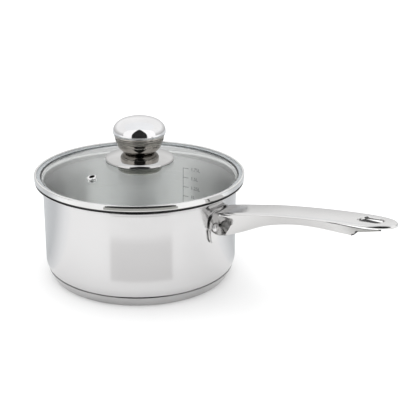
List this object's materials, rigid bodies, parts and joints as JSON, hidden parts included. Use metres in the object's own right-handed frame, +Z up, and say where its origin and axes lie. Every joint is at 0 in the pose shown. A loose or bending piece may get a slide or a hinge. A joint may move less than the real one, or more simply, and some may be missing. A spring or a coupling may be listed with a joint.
{
  "type": "saucepan with glass lid",
  "caption": "Round steel saucepan with a flared lip, a folded steel side handle, and a domed glass lid with a steel rim, knob and steam vent.",
  "frame": {"origin": "centre of the base's underside, on the pan's axis", "axes": "+Z up along the pan's axis, +X along the handle"},
  "size_m": [0.3515, 0.195, 0.15],
  "materials": {
    "body_steel": "polished outside, satin inside",
    "base_steel": "satin",
    "core_aluminium": "plain",
    "polished_steel": "mirror polished",
    "plain_steel": "plain",
    "lid_glass": "clear, faint green",
    "dark_silicone": "matte",
    "clear_silicone": "matte, translucent"
  },
  "bodies": {
    "pan": {"pan_shell": "body_steel", "base_core": "core_aluminium", "base_cap": "base_steel", "handle": "polished_steel", "handle_rivets": "polished_steel"},
    "lid": {"lid_glass": "lid_glass", "lid_rim": "polished_steel", "rim_seal": "dark_silicone", "vent_eyelet": "polished_steel", "knob_cap": "polished_steel", "knob_bowl": "polished_steel", "knob_insert": "plain_steel", "knob_flange": "polished_steel", "flange_gasket": "clear_silicone", "hole_bush": "clear_silicone", "under_cup": "polished_steel", "cup_gasket": "clear_silicone", "lid_screw": "plain_steel", "spring_washer": "plain_steel", "flat_washer": "plain_steel"}
  },
  "joints": [
    {"name": "lid_lift", "type": "slide", "parent": "pan", "child": "lid", "axis": [0, 0, 1], "range_m": [0, 0.12]}
  ]
}
